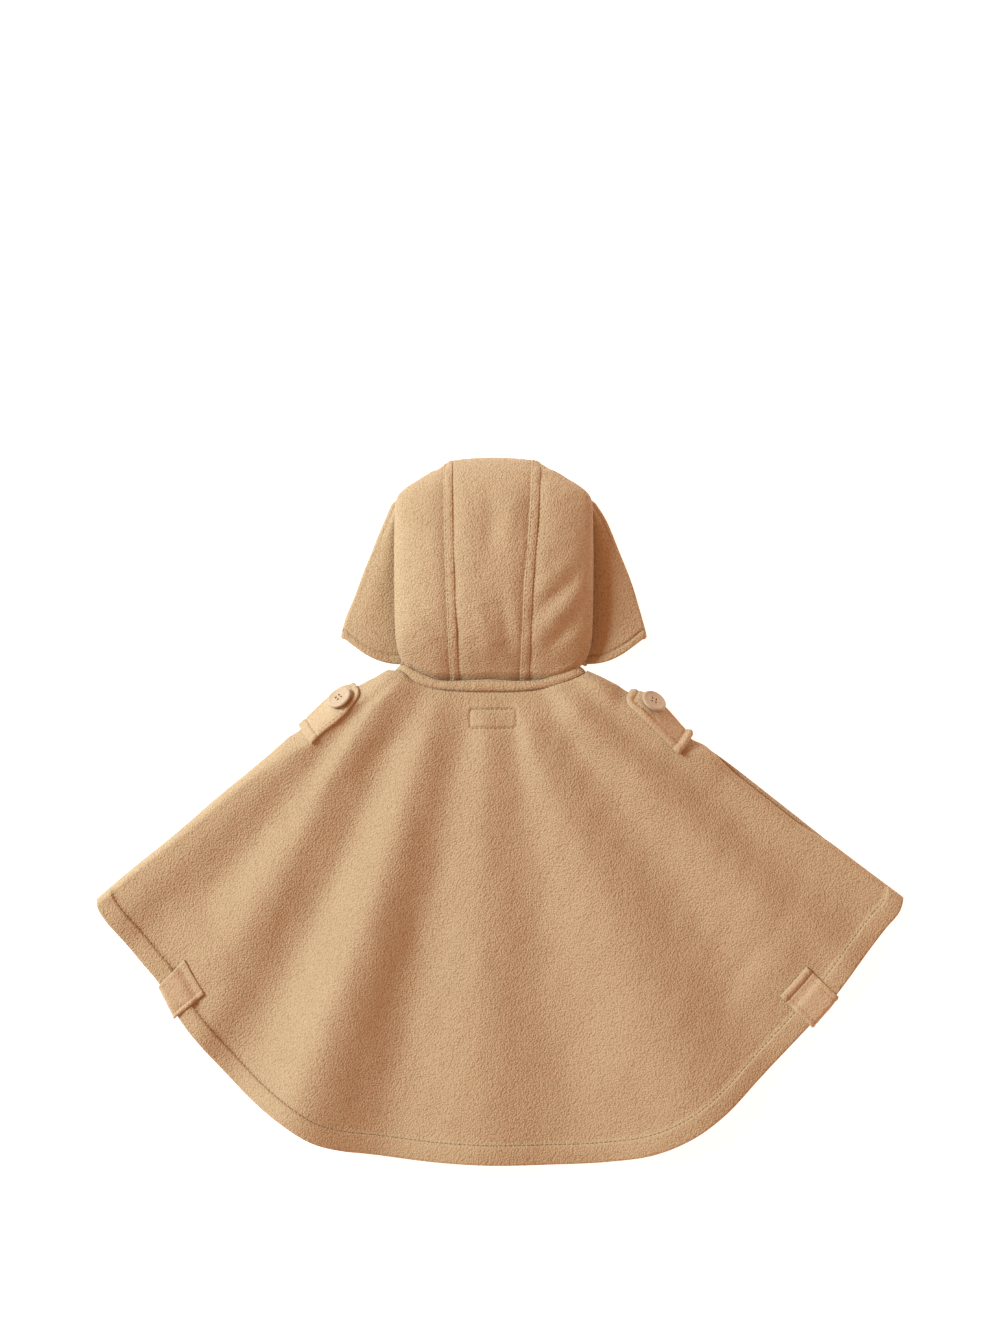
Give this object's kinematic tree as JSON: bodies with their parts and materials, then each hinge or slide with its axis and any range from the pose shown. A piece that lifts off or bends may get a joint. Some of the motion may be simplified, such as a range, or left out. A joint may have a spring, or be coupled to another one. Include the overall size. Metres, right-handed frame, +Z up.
{
  "type": "hooded poncho",
  "caption": "Toddler's fleece hooded poncho cape lying face down, with buttoned shoulder tabs and straps that join its back and fronts at the hem.",
  "frame": {"origin": "on the surface that the garment lies on, under the middle of its bounding box", "axes": "+X to the picture's right, +Y from the hem to the hood's crown, +Z up out of the garment's back"},
  "size_m": [0.6852, 0.6004, 0.0487],
  "materials": {
    "fleece": "matt, short curled pile",
    "trim": "matt, short pile, pressed smooth",
    "button": "satin resin"
  },
  "bodies": {
    "root": {"back_panel": "fleece", "front_left": "fleece", "front_right": "fleece", "hood_centre": "fleece", "hood_left": "fleece", "hood_right": "fleece", "neck_band": "trim", "shoulder_tab_left": "trim", "shoulder_tab_right": "trim", "hem_tab_left": "trim", "hem_tab_right": "trim", "button_left": "button", "button_right": "button"}
  },
  "joints": []
}
